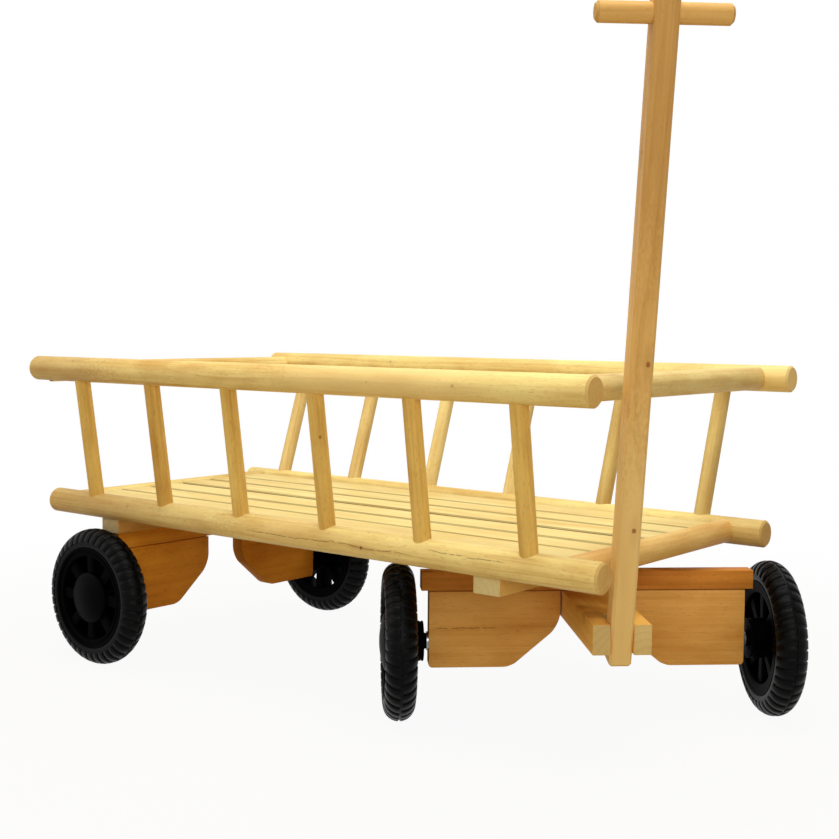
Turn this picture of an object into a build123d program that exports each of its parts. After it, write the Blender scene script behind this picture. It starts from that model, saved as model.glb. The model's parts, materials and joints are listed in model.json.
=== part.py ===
from build123d import *
import os
from math import cos, radians, sin, tan

# Ladder wagon: X runs forward to the drawbar, Y to the wagon's left, Z up from the ground, in millimetres

# Side ladders
rail_diameter = 36
upper_rail_length = 983
lower_rail_length = 974
lower_rail_inset = 7
rail_rise = 203
rail_end_round = 2.5
rung_diameter = 22

# Distances of the rails from the line of the axles' middles: the left ladder leans further out
right_upper_side = 245
right_lower_side = 217
left_upper_side = 259.5
left_lower_side = 193

# Cross poles and their distances from the middle of the upper rails
pole_diameter = 31
upper_front_pole_lead = 10.5
upper_rear_pole_reach = 459
upper_rear_pole_drop = 4.5
lower_rear_pole_reach = 448
lower_pole_setback = 28.74

# Deck slats
deck_side_gap = 10.5
slat_thickness = 20
slat_top_above_rail_axis = 12
slat_edge_round = 2

# Cross bars, beams and boards over the axles
cross_bar_overhang = 2.5
cross_bar_width = 38
cross_bar_below_rail = 20.5
front_bar_reach = 334
rear_bar_reach = 355
beam_tyre_gap = 8
beam_height = 25.5
beam_width = 24
board_outer_edge = 204
board_inner_edge = 37
board_height = 98.5
board_thickness = 22
board_inner_side = 45
board_bottom_start = 99
board_axle_height = 32.5
board_upper_bend = 28
board_lower_bend = 22
board_corner_round = 5

# Fork and drawbar
fork_width = 68
fork_height = 35
fork_front_reach = 206
fork_tail_reach = 46
fork_slot_width = 27
fork_slot_length = 57
drawbar_width = 26
drawbar_depth = 30
drawbar_length = 680
drawbar_top_end = 18
drawbar_foot = 31
drawbar_edge_round = 3
drawbar_lean = 12.5
pivot_setback = 16.5
handle_diameter = 22
handle_length = 140
handle_end_round = 3

# Steel
axle_diameter = 12
axle_seat_depth = 65
washer_diameter = 24
washer_thickness = 2.5
kingpin_diameter = 12
kingpin_head_diameter = 28
kingpin_head_height = 5
kingpin_nut_diameter = 22
kingpin_nut_height = 9
pivot_bolt_diameter = 10
pivot_bolt_recess = 2.5

# Wheels
wheel_radius = 100
tyre_width = 40
tyre_bead_radius = 72
rim_inner_radius = 61
rim_width = 35
spoke_count = 8
spoke_width = 16.5
spoke_depth = 26
spoke_recess = 5
hub_radius = 25.5
hub_inner_face = 31.5
boss_radius = 10
boss_length = 4
cap_radius = 37
cap_edge = 4
cap_bulge = 4.5
cap_dome = 5.5
wheel_track = 484

# Clearances
running_gap = 0.05
steering_angle = -47

# Places that follow from the sizes
rail_radius = rail_diameter / 2
deck_left_edge = left_lower_side - rail_radius - deck_side_gap
deck_width = deck_left_edge + right_lower_side - rail_radius - deck_side_gap
beam_length = wheel_track - tyre_width - 2 * beam_tyre_gap
axle_height = wheel_radius
board_bottom = axle_height - board_axle_height
board_top = board_bottom + board_height
beam_top = board_top + beam_height
lower_rail_height = beam_top + cross_bar_below_rail + rail_radius
upper_rail_height = lower_rail_height + rail_rise
slat_top = lower_rail_height + slat_top_above_rail_axis
cross_bar_top = slat_top - slat_thickness
rail_rear = -upper_rail_length / 2
lower_rail_middle = rail_rear + lower_rail_inset + lower_rail_length / 2
bar_right_end = -right_lower_side - cross_bar_overhang
bar_left_end = left_lower_side + cross_bar_overhang
fork_bottom = board_top - fork_height
pivot_height = board_top - fork_height / 2
pivot_reach = fork_front_reach - pivot_setback
lower_front_pole_reach = front_bar_reach + pivot_reach * cos(radians(steering_angle)) - lower_pole_setback
upper_front_pole_reach = lower_front_pole_reach + upper_front_pole_lead
wheel_middle = wheel_track / 2
half_tyre = tyre_width / 2

# Each rung's place along the upper rail, as a share of its length, on the right and on the left ladder
rung_shares = [
    (0.107, 0.085),
    (0.266, 0.251),
    (0.424, 0.415),
    (0.585, 0.574),
    (0.743, 0.741),
    (0.899, 0.900),
]

# Width of each deck slat from left to right and the gap that follows it, as shares of the deck's width
slat_shares = [
    (0.1643, 0.0142),
    (0.1438, 0.0212),
    (0.1473, 0.0354),
    (0.1537, 0.0255),
    (0.1395, 0.0127),
    (0.1424, 0.0),
]

# The tyre's half outline from bead to crown, as shares of half its width and of its height
tyre_outline_shares = [
    (0.90, 0.0),
    (1.0, 0.30),
    (0.80, 0.76),
    (0.30, 1.0),
]


def rod(radius, start, end):
    """Round bar from one point to another."""
    line = Vector(*end) - Vector(*start)
    plane = Plane(origin=start, z_dir=line)
    return plane * Cylinder(radius, line.length, align=(Align.CENTER, Align.CENTER, Align.MIN))


def rail(length, middle, side, height):
    """One long rail of a side ladder, its sawn ends eased."""
    start = (middle - length / 2, side, height)
    end = (middle + length / 2, side, height)
    body = rod(rail_radius, start, end)
    return chamfer(body.edges().filter_by(GeomType.CIRCLE), rail_end_round)


def rung(share, lower_side, upper_side):
    """One rung, let into both rails of its ladder as far as their axes."""
    place = rail_rear + share * upper_rail_length
    return rod(rung_diameter / 2, (place, lower_side, lower_rail_height), (place, upper_side, upper_rail_height))


def cross_pole(reach, right_side, left_side, height, drop):
    """A round pole between two rails and so far below their axes, its ends shaped to their round sides."""
    start = (reach, right_side, height - drop)
    pole = rod(pole_diameter / 2, start, (reach, left_side, height - drop))
    for side in (right_side, left_side):
        pole -= rod(rail_radius, (reach - rail_diameter, side, height), (reach + rail_diameter, side, height))
    return pole


def deck_slats():
    """The lengthwise boards of the deck, their ends shaped to the two lower poles."""
    slats = []
    left_edge = deck_left_edge
    length = lower_front_pole_reach + lower_rear_pole_reach
    middle = (lower_front_pole_reach - lower_rear_pole_reach) / 2
    for width_share, gap_share in slat_shares:
        width = width_share * deck_width
        place = Pos(middle, left_edge - width / 2, slat_top - slat_thickness / 2)
        slat = place * Box(length, width, slat_thickness)
        slat = chamfer(slat.edges().filter_by(Axis.X).group_by(Axis.Z)[-1], slat_edge_round)
        for reach in (lower_front_pole_reach, -lower_rear_pole_reach):
            start = (reach, -right_lower_side, lower_rail_height)
            slat -= rod(pole_diameter / 2, start, (reach, left_lower_side, lower_rail_height))
        slats.append(slat)
        left_edge -= width + gap_share * deck_width
    return slats


def cross_bar(reach):
    """The square bar across the wagon, with a hollow for each lower rail."""
    bottom = lower_rail_height - rail_radius - cross_bar_below_rail
    size = (cross_bar_width, bar_left_end - bar_right_end, cross_bar_top - bottom)
    middle = (reach, (bar_left_end + bar_right_end) / 2, (cross_bar_top + bottom) / 2)
    bar = Pos(*middle) * Box(*size)
    for side in (-right_lower_side, left_lower_side):
        start = (reach - cross_bar_width, side, lower_rail_height)
        bar -= rod(rail_radius, start, (reach + cross_bar_width, side, lower_rail_height))
    return bar


def beam():
    """The flat beam over the axle boards."""
    return Pos(0, 0, board_top + beam_height / 2) * Box(beam_width, beam_length, beam_height)


def axle_board(hand):
    """The upright board by one wheel, drilled for the axle, with its lower inner corner cut off."""
    inner_top = (hand * board_inner_edge, board_top)
    inner_low = (hand * board_inner_edge, board_top - board_inner_side)
    bottom_in = (hand * board_bottom_start, board_bottom)
    bottom_out = (hand * board_outer_edge, board_bottom)
    outer_top = (hand * board_outer_edge, board_top)
    outline = make_face(Polyline(inner_top, inner_low, bottom_in, bottom_out, outer_top, close=True))
    bends = (
        (inner_low, board_upper_bend),
        (bottom_in, board_lower_bend),
        (bottom_out, board_corner_round),
    )
    for corner, bend in bends:
        outline = fillet(outline.vertices().sort_by_distance((*corner, 0))[0], bend)
    board = extrude(Plane.YZ * outline, board_thickness / 2, both=True)
    return board - axle(hand)


def axle(hand):
    """The steel stub that carries one wheel, let into its board."""
    start = board_outer_edge - axle_seat_depth
    end = wheel_middle + half_tyre - cap_edge
    return rod(axle_diameter / 2, (0, hand * start, axle_height), (0, hand * end, axle_height))


def fork():
    """The lengthwise bar under the front beam, slotted in front for the drawbar."""
    length = fork_front_reach + fork_tail_reach
    middle = (fork_front_reach - fork_tail_reach) / 2
    bar = Pos(middle, 0, pivot_height) * Box(length, fork_width, fork_height)
    slot_middle = fork_front_reach - fork_slot_length / 2
    bar -= Pos(slot_middle, 0, pivot_height) * Box(fork_slot_length, fork_slot_width, fork_height)
    bar -= rod(kingpin_diameter / 2 + running_gap, (0, 0, fork_bottom), (0, 0, board_top))
    start = (pivot_reach, -fork_width, pivot_height)
    end = (pivot_reach, fork_width, pivot_height)
    return bar - rod(pivot_bolt_diameter / 2, start, end)


def pivot_bolt():
    """The headless bolt across the fork on which the drawbar swings, its ends sunk in the cheeks."""
    half = fork_width / 2 - pivot_bolt_recess
    return rod(pivot_bolt_diameter / 2, (pivot_reach, -half, pivot_height), (pivot_reach, half, pivot_height))


def kingpin():
    """The bolt through the front cross bar, the beam and the fork."""
    bottom = fork_bottom - kingpin_nut_height
    pin = rod(kingpin_diameter / 2, (0, 0, bottom), (0, 0, cross_bar_top))
    pin += rod(kingpin_head_diameter / 2, (0, 0, cross_bar_top - kingpin_head_height), (0, 0, cross_bar_top))
    return pin + rod(kingpin_nut_diameter / 2, (0, 0, bottom), (0, 0, fork_bottom))


def drawbar():
    """The straight wooden drawbar about its pivot, upright before it is leant forward."""
    height = drawbar_foot + drawbar_length + drawbar_top_end
    middle = (drawbar_length + drawbar_top_end - drawbar_foot) / 2
    bar = Pos(0, 0, middle) * Box(drawbar_depth, drawbar_width, height)
    bar = chamfer(bar.edges(), drawbar_edge_round)
    bar -= rod(pivot_bolt_diameter / 2 + running_gap, (0, -drawbar_width, 0), (0, drawbar_width, 0))
    return bar - rod(handle_diameter / 2, (0, -drawbar_width, drawbar_length), (0, drawbar_width, drawbar_length))


def handle():
    """The round grip through the top of the drawbar."""
    half = handle_length / 2
    grip = rod(handle_diameter / 2, (0, -half, drawbar_length), (0, half, drawbar_length))
    return chamfer(grip.edges().filter_by(GeomType.CIRCLE), handle_end_round)


def tyre():
    """The tyre about its own middle, its axis along Y."""
    height = wheel_radius - tyre_bead_radius
    half = [(tyre_bead_radius + rise * height, side * half_tyre) for side, rise in tyre_outline_shares]
    mirrored = [(radius, -side) for radius, side in reversed(half)]
    return revolve(make_face(Polyline(*half, *mirrored, close=True)), Axis.Y)


def wheel_centre():
    """The rim, spokes and hub of a wheel as one moulding, its outer side towards plus Y."""
    ring = rod(tyre_bead_radius, (0, -rim_width / 2, 0), (0, rim_width / 2, 0))
    ring -= rod(rim_inner_radius, (0, -rim_width, 0), (0, rim_width, 0))
    hub_end = half_tyre - cap_edge
    hub = rod(hub_radius, (0, -hub_inner_face, 0), (0, hub_end, 0))
    hub += rod(boss_radius, (0, -hub_inner_face - boss_length, 0), (0, -hub_inner_face, 0))
    spoke_length = (rim_inner_radius + tyre_bead_radius) / 2
    spoke_middle = half_tyre - spoke_recess - spoke_depth / 2
    spoke = Pos(spoke_length / 2, spoke_middle, 0) * Box(spoke_length, spoke_depth, spoke_width)
    for turn in range(spoke_count):
        hub += Rot(0, 360 * turn / spoke_count, 0) * spoke
    return ring + hub - rod(axle_diameter / 2 + running_gap, (0, -wheel_radius, 0), (0, wheel_radius, 0))


def hub_cap():
    """The round cap over the hub, its face slightly domed."""
    base = half_tyre - cap_edge
    top = half_tyre + cap_bulge
    dome_radius = (cap_radius ** 2 + cap_dome ** 2) / (2 * cap_dome)
    dome = Pos(0, top - dome_radius, 0) * Sphere(dome_radius)
    return rod(cap_radius, (0, base, 0), (0, top, 0)) & dome


def washer(hand):
    """The washer between a board and its wheel."""
    start = (0, hand * board_outer_edge, axle_height)
    end = (0, hand * (board_outer_edge + washer_thickness), axle_height)
    return rod(washer_diameter / 2, start, end) - axle(hand)


# Side ladders and poles
nodes = {}
ladders = [
    ("right", -right_lower_side, -right_upper_side),
    ("left", left_lower_side, left_upper_side),
]
for column, (side, lower_side, upper_side) in enumerate(ladders):
    upper = rail(upper_rail_length, 0, upper_side, upper_rail_height)
    lower = rail(lower_rail_length, lower_rail_middle, lower_side, lower_rail_height)
    for number, shares in enumerate(rung_shares, 1):
        piece = rung(shares[column], lower_side, upper_side)
        upper -= piece
        lower -= piece
        nodes[f"{side}_rung_{number}"] = [piece]
    nodes[side + "_upper_rail"] = [upper]
    nodes[side + "_lower_rail"] = [lower]

upper_sides = (-right_upper_side, left_upper_side)
lower_sides = (-right_lower_side, left_lower_side)
poles = [
    ("upper_front_pole", upper_front_pole_reach, upper_sides, upper_rail_height, 0),
    ("upper_rear_pole", -upper_rear_pole_reach, upper_sides, upper_rail_height, upper_rear_pole_drop),
    ("lower_front_pole", lower_front_pole_reach, lower_sides, lower_rail_height, 0),
    ("lower_rear_pole", -lower_rear_pole_reach, lower_sides, lower_rail_height, 0),
]
for name, reach, sides, height, drop in poles:
    nodes[name] = [cross_pole(reach, *sides, height, drop)]

# The steered unit is made straight ahead about the kingpin and turned into its place
steer = Pos(front_bar_reach, 0, 0) * Rot(0, 0, steering_angle)
lean = Pos(pivot_reach, 0, pivot_height) * Rot(0, drawbar_lean, 0)
rear_place = Pos(-rear_bar_reach, 0, 0)
kingpin_bolt = Pos(front_bar_reach, 0, 0) * kingpin()
kingpin_hole = rod(kingpin_diameter / 2 + running_gap, (0, 0, board_top), (0, 0, beam_top))

nodes.update({
    "deck_slats": deck_slats(),
    "front_cross_bar": [cross_bar(front_bar_reach) - kingpin_bolt],
    "rear_cross_bar": [cross_bar(-rear_bar_reach)],
    "kingpin": [kingpin_bolt],
    "rear_beam": [rear_place * beam()],
    "front_beam": [steer * (beam() - kingpin_hole)],
    "fork": [steer * fork()],
    "pivot_bolt": [steer * pivot_bolt()],
    "drawbar": [steer * lean * drawbar()],
    "drawbar_handle": [steer * lean * handle()],
})

# Wheels, with their outer sides away from the middle
wheel_places = [
    ("front_right", steer, -1),
    ("front_left", steer, 1),
    ("rear_right", rear_place, -1),
    ("rear_left", rear_place, 1),
]
for corner, place, hand in wheel_places:
    turned = Rot(0, 0, 90 - 90 * hand)
    nodes[corner + "_board"] = [place * axle_board(hand)]
    nodes[corner + "_axle"] = [place * axle(hand)]
    nodes[corner + "_washer"] = [place * washer(hand)]
    seat = place * Pos(0, hand * wheel_middle, axle_height) * turned
    nodes[corner + "_tyre"] = [seat * tyre()]
    nodes[corner + "_wheel"] = [seat * wheel_centre()]
    nodes[corner + "_cap"] = [seat * hub_cap()]

# The origin lies on the ground under the middle of the whole wagon
solids = {name: [solid for piece in pieces for solid in piece.solids()] for name, pieces in nodes.items()}
whole = Compound([solid for group in solids.values() for solid in group]).bounding_box()
frame_shift = Pos(-whole.center().X, -whole.center().Y, -whole.min.Z)

os.makedirs("parts", exist_ok=True)
for name, group in solids.items():
    moved = [frame_shift * solid for solid in group]
    shape = moved[0] if len(moved) == 1 else Compound(moved)
    export_step(shape, f"parts/{name}.step")
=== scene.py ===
# %% [markdown]
# # A ladder wagon, dressed for its portrait
#
# The wagon is a small hand cart: two round-railed ladders that lean outwards, a deck of six slats, wooden
# beams and boards that carry the axles, and four black moulded wheels. The CAD model gives every piece
# its size and place. This lesson gives the pieces their looks: wood with grain that follows each stick,
# black tyres with blocks of tread, moulded wheel centres and plated steel. Everything is in metres, in
# the CAD frame, apart from the sizes that are multiplied by MM, which are in millimetres.

# %% Load the frame
import json
import math
import random

import bmesh
import bpy
from mathutils import Matrix, Vector


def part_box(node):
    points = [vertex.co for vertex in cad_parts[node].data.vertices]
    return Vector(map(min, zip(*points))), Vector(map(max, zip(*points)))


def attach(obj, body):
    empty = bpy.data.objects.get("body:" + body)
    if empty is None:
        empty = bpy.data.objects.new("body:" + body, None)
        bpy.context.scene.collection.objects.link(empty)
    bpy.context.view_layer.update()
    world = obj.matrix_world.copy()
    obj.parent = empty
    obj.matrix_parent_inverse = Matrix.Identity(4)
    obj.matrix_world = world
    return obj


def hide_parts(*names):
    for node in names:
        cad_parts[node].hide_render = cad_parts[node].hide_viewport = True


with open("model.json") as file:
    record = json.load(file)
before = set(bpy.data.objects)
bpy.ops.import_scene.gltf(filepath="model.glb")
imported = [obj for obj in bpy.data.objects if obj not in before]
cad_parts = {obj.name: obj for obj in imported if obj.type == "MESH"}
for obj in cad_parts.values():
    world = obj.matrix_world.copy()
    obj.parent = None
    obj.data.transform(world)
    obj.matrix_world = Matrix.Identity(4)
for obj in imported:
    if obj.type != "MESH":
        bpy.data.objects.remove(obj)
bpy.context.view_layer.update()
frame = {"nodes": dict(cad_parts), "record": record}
nodes = frame["nodes"]
record = frame["record"]
joints = {joint["name"]: joint for joint in record["behaviour"]["joints"]}
bodies_of_nodes = {node: body for body, members in record["behaviour"]["bodies"].items() for node in members}

# %% [markdown]
# ## The camera
#
# The photograph was taken from the right front corner, a little above the rails. Its lens and place
# were worked out from the corners of the wooden pieces. The camera has its own right and up axes, so a
# small roll can be put in by turning those two about the line of sight.

# %% Place the camera
# the place is in metres and the angles in degrees, the heading from +X towards +Y
CAMERA_PLACE = Vector((1.1477, -1.4180, 0.4997))
CAMERA_HEADING = 128.982
CAMERA_TILT = -4.052
CAMERA_ROLL = 0.449
LENS_IN_PIXELS = 1310.9
PICTURE_WIDTH = 839
SENSOR_WIDTH = 36.0
FARTHEST_SEEN = 50.0


def camera_axes(heading, tilt, roll):
    """Right, up and back vectors of a camera that looks along a compass heading."""
    h, t, r = (math.radians(a) for a in (heading, tilt, roll))
    ahead = Vector((math.cos(t) * math.cos(h), math.cos(t) * math.sin(h), math.sin(t)))
    right = ahead.cross(Vector((0, 0, 1))).normalized()
    up = right.cross(ahead)
    rolled_right = math.cos(r) * right + math.sin(r) * up
    rolled_up = -math.sin(r) * right + math.cos(r) * up
    return rolled_right, rolled_up, -ahead


def axes_matrix(place, axes):
    """The matrix that lays X, Y and Z along three axes at a place."""
    return Matrix.Translation(place) @ Matrix(axes).transposed().to_4x4()


camera_data = bpy.data.cameras.new("portrait_camera")
camera = bpy.data.objects.new("portrait_camera", camera_data)
bpy.context.scene.collection.objects.link(camera)
camera_data.sensor_width = SENSOR_WIDTH
camera_data.sensor_fit = "HORIZONTAL"
camera_data.lens = LENS_IN_PIXELS / PICTURE_WIDTH * SENSOR_WIDTH
camera.matrix_world = axes_matrix(CAMERA_PLACE, camera_axes(CAMERA_HEADING, CAMERA_TILT, CAMERA_ROLL))
camera_data.clip_end = FARTHEST_SEEN
bpy.context.scene.camera = camera
print("lens", round(camera_data.lens, 2), "mm")

# %% [markdown]
# ## Short ways to wire nodes
#
# Every finish here is a tree of nodes. One small class adds and joins them, so that a line of code
# reads like the sum that it stands for. A pattern that many materials share is a node group that gives
# out a colour, a roughness and a height.

# %% Node helpers


class Wiring:
    """Short ways to add and join nodes in one tree."""

    def __init__(self, tree):
        self.tree = tree

    def feed(self, socket, value):
        """Joins an input to another node's output, or sets it to a plain value."""
        if isinstance(value, bpy.types.NodeSocket):
            self.tree.links.new(value, socket)
        else:
            socket.default_value = value

    def fill(self, node, inputs):
        """Feeds a node's inputs, given by name or by number."""
        for label, value in inputs.items():
            self.feed(node.inputs[label], value)

    def node(self, kind, inputs=None, **settings):
        """A new node with its settings and its inputs."""
        made = self.tree.nodes.new(kind)
        for name, value in settings.items():
            setattr(made, name, value)
        self.fill(made, inputs or {})
        return made

    def math(self, operation, *values, clamp=False):
        """One sum on one or two numbers."""
        inputs = dict(enumerate(values))
        return self.node("ShaderNodeMath", inputs, operation=operation, use_clamp=clamp).outputs[0]

    def times(self, first, second):
        """The product of two numbers."""
        return self.math("MULTIPLY", first, second)

    def centred(self, value):
        """A value from zero to one, moved to lie round zero."""
        return self.math("SUBTRACT", value, 0.5)

    def weighed(self, first, first_weight, second, second_weight):
        """The sum of two values, each times its weight."""
        pairs = ((first, first_weight), (second, second_weight))
        return self.math("ADD", *(self.times(*pair) for pair in pairs))

    def vector(self, operation, *values):
        """One sum on vectors."""
        made = self.node("ShaderNodeVectorMath", dict(enumerate(values)), operation=operation)
        return made.outputs["Value" if operation == "LENGTH" else "Vector"]

    def scale(self, vector, factor):
        """A vector times a number."""
        inputs = {"Vector": vector, "Scale": factor}
        return self.node("ShaderNodeVectorMath", inputs, operation="SCALE").outputs["Vector"]

    def split(self, vector):
        """A vector's X, Y and Z."""
        return self.node("ShaderNodeSeparateXYZ", {0: vector}).outputs

    def noise(self, place, stretch, detail=2.0, roughness=0.5):
        """Noise in a space that is stretched by one number for each axis, in cells per metre."""
        spot = self.vector("MULTIPLY", place, stretch)
        inputs = {"Vector": spot, "Scale": 1.0, "Detail": detail, "Roughness": roughness}
        return self.node("ShaderNodeTexNoise", inputs).outputs["Fac"]

    def step(self, value, low, high, start=0.0, end=1.0):
        """A smooth step from start to end as value goes from low to high."""
        inputs = {"Value": value, "From Min": low, "From Max": high, "To Min": start, "To Max": end}
        return self.node("ShaderNodeMapRange", inputs, interpolation_type="SMOOTHSTEP").outputs["Result"]

    def mix(self, share, first, second):
        """A colour between two, nearer the second as the share grows."""
        made = self.node("ShaderNodeMix", data_type="RGBA", clamp_factor=True)
        sockets = [s for s in made.inputs if s.type == "RGBA"]
        self.feed(made.inputs["Factor"], share)
        self.feed(sockets[0], first)
        self.feed(sockets[1], second)
        return [s for s in made.outputs if s.type == "RGBA"][0]


def new_group(name, inputs, outputs):
    """A node group with named sockets, listed by kind, its wiring, what it is given and its result."""
    group = bpy.data.node_groups.new(name, "ShaderNodeTree")
    kinds = {"value": "NodeSocketFloat", "vector": "NodeSocketVector", "colour": "NodeSocketColor"}
    for side, sockets in (("INPUT", inputs), ("OUTPUT", outputs)):
        for kind, labels in sockets.items():
            for label in labels:
                group.interface.new_socket(name=label, in_out=side, socket_type=kinds[kind])
    w = Wiring(group)
    return group, w, w.node("NodeGroupInput").outputs, w.node("NodeGroupOutput")


def new_material(name):
    """An empty node material, its wiring and its output node."""
    material = bpy.data.materials.new(name)
    material.use_nodes = True
    material.node_tree.nodes.clear()
    w = Wiring(material.node_tree)
    return material, w, w.node("ShaderNodeOutputMaterial")


def lay_surface(w, output, colour, rough, height, bump_strength, bump_depth, settings):
    """A surface with a colour, a roughness, a height that bumps it, and settings of its own."""
    bump = w.node("ShaderNodeBump", {"Strength": bump_strength, "Distance": bump_depth, "Height": height})
    surface = w.node("ShaderNodeBsdfPrincipled", settings)
    w.fill(surface, {"Base Color": colour, "Roughness": rough, "Normal": bump.outputs["Normal"]})
    w.feed(output.inputs["Surface"], surface.outputs[0])


def tint(red, green, blue):
    """A colour as an eye reads it, 0 to 255, as Blender's linear colour."""
    def linear(part):
        part /= 255
        return part / 12.92 if part <= 0.04045 else ((part + 0.055) / 1.055) ** 2.4
    return (linear(red), linear(green), linear(blue), 1.0)


def put_on(node, material):
    """Gives a CAD node's faces one material."""
    for slot in nodes[node].material_slots:
        slot.material = material


PATTERN = {"colour": ("Colour",), "value": ("Roughness", "Height")}
COLOUR_ONLY = {"colour": ("Colour",)}
print("a pattern gives", PATTERN)

# %% [markdown]
# ## Floor and light
#
# A studio cut-out has a white ground. The floor and the world are white only for rays that come from
# the camera or through a reflection, so the ground looks white and adds no light to the wood. Soft
# boxes do the lighting: a big one overhead, weak ones from the left and by the camera, and a cool one
# high at the back that draws a pale streak on the tyres.

# %% Build the floor and the world
WHITE = (1.0, 1.0, 1.0, 1.0)
SKY_COLOUR = (1.0, 0.95, 0.84, 1.0)
SKY_LIGHT = 0.36
FLOOR_REACH = 12.0
PAPER_COLOUR = (0.50, 0.42, 0.30, 1.0)
# the share of glow in the floor's white, under the wagon and away from it, and where it changes
GLOW_UNDER, GLOW_AWAY = 0.94, 1.0
GLOW_CHANGES = (0.5, 1.6)


def seen_directly(w):
    """A value of one for camera, glossy and transmission rays, and zero for the others."""
    path = w.node("ShaderNodeLightPath").outputs
    total = path["Is Camera Ray"]
    for name in ("Is Glossy Ray", "Is Transmission Ray"):
        total = w.math("MAXIMUM", total, path[name])
    return total


world = bpy.data.worlds.new("studio")
bpy.context.scene.world = world
world.use_nodes = True
world.node_tree.nodes.clear()
sky = Wiring(world.node_tree)
soft_sky = sky.node("ShaderNodeBackground", {"Color": SKY_COLOUR, "Strength": SKY_LIGHT})
ground_white = sky.node("ShaderNodeBackground", {"Color": WHITE, "Strength": 1.0})
pick = sky.node(
    "ShaderNodeMixShader", {0: seen_directly(sky), 1: soft_sky.outputs[0], 2: ground_white.outputs[0]},
)
sky.node("ShaderNodeOutputWorld", {"Surface": pick.outputs[0]})

floor_mesh = bpy.data.meshes.new("floor")
sheet = bmesh.new()
bmesh.ops.create_grid(sheet, x_segments=1, y_segments=1, size=FLOOR_REACH)
sheet.to_mesh(floor_mesh)
sheet.free()
floor = bpy.data.objects.new("floor", floor_mesh)
bpy.context.scene.collection.objects.link(floor)
floor_material, w, output = new_material("studio_floor")
paper = w.node("ShaderNodeBsdfDiffuse", {"Color": PAPER_COLOUR})
glow = w.node("ShaderNodeEmission", {"Strength": 1.0})
distance = w.vector("LENGTH", w.node("ShaderNodeTexCoord").outputs["Object"])
glow_share = w.times(seen_directly(w), w.step(distance, *GLOW_CHANGES, GLOW_UNDER, GLOW_AWAY))
ground = w.node("ShaderNodeMixShader", {0: glow_share, 1: paper.outputs[0], 2: glow.outputs[0]})
w.feed(output.inputs["Surface"], ground.outputs[0])
floor_mesh.materials.append(floor_material)
print("floor", 2 * FLOOR_REACH, "m wide")

# %% Hang the soft boxes
WARM_LIGHT, COOL_LIGHT = (1.0, 0.985, 0.955), (0.93, 0.97, 1.0)
# name, place, aims at, width, height, power, colour
soft_boxes = [
    ("overhead", (0.1, -0.35, 2.3), (0.0, 0.0, 0.2), 2.2, 1.5, 37.0, WARM_LIGHT),
    ("left_side", (-1.6, -1.6, 1.1), (0.0, 0.0, 0.3), 1.4, 1.2, 7.5, WARM_LIGHT),
    ("by_camera", (1.6, -1.5, 1.0), (0.1, 0.0, 0.2), 1.2, 1.0, 11.0, WARM_LIGHT),
    ("high_back", (0.3, 1.3, 2.0), (-0.1, 0.0, 0.2), 1.0, 0.8, 7.0, COOL_LIGHT),
]
for name, place, aim, width, height, power, light_colour in soft_boxes:
    light_data = bpy.data.lights.new(name, "AREA")
    light_data.shape = "RECTANGLE"
    light_data.size = width
    light_data.size_y = height
    light_data.energy = power
    light_data.color = light_colour
    light = bpy.data.objects.new(name, light_data)
    light.location = place
    light.rotation_mode = "QUATERNION"
    light.rotation_quaternion = (Vector(place) - Vector(aim)).to_track_quat("Z", "Y")
    bpy.context.scene.collection.objects.link(light)
bpy.context.scene.view_settings.view_transform = "Standard"
print("soft boxes", len(soft_boxes))

# %% [markdown]
# ## Wood
#
# Sawn wood shows the tree's rings where they meet the surface: lines along a board, circles on its
# end. If a pattern of rings round the pith is made in three dimensions, every face gets the right
# figure by itself. So the grain is one node group that is given a point in the stick's own space,
# with X along the stick.

# %% Grain group
SEED_STRIDE = (13.7, 7.3, 5.1)
RING_PUSH = 0.030
# where in a ring the dark late wood starts and where it is darkest
LATE_START, LATE_FULL = 0.45, 0.93
MIDDLE_DEPTH = 0.30
PLAIN_ROUGHNESS = 0.46
# a feature comes in between two values of its noise, or of the facing
FLECKS_FROM, SPECKS_FROM = (0.60, 0.72), (0.55, 0.75)
END_FACING, SIDE_FACING = (0.45, 0.85), (0.55, 0.90)
# a noise's cells per metre along and across the stick, its detail and its roughness
grain_noises = {
    "wander": (1.7, 16.0, 2.0, 0.5),
    "wide_streak": (2.6, 70.0, 3.0, 0.55),
    "fibre": (9.0, 420.0, 3.0, 0.6),
    "patch": (5.0, 13.0, 2.0, 0.5),
    "small_patch": (16.0, 52.0, 2.0, 0.5),
    "fleck": (120.0, 760.0, 1.0, 0.5),
    "end_speck": (700.0, 900.0, 1.0, 0.5),
}
grain_inputs = {
    "vector": ("Place", "Facing", "Pith"),
    "value": ("Seed", "Ring Width", "Rings", "Streaks", "Mottle", "Flecks", "End Shade", "Side Shade"),
    "colour": ("Pale", "Deep", "Fleck Colour", "End Colour", "Side Colour"),
}
grain_group, w, given, result = new_group("wood_grain", grain_inputs, PATTERN)
spot = w.vector("ADD", given["Place"], w.scale(SEED_STRIDE, given["Seed"]))
noises = {
    name: w.noise(spot, (along, across, across), detail, roughness)
    for name, (along, across, detail, roughness) in grain_noises.items()
}

# rings round the pith, pushed about by a slow noise so that they make arches on a flat face
push = w.times(w.centred(noises["wander"]), RING_PUSH)
from_pith = w.vector("MULTIPLY", w.vector("SUBTRACT", given["Place"], given["Pith"]), (0.0, 1.0, 1.0))
ring_reach = w.math("ADD", w.vector("LENGTH", from_pith), push)
phase = w.math("FRACT", w.math("DIVIDE", ring_reach, given["Ring Width"]))
late_wood = w.times(w.step(phase, LATE_START, LATE_FULL), w.step(phase, LATE_FULL, 1.0, 1.0, 0.0))

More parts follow.
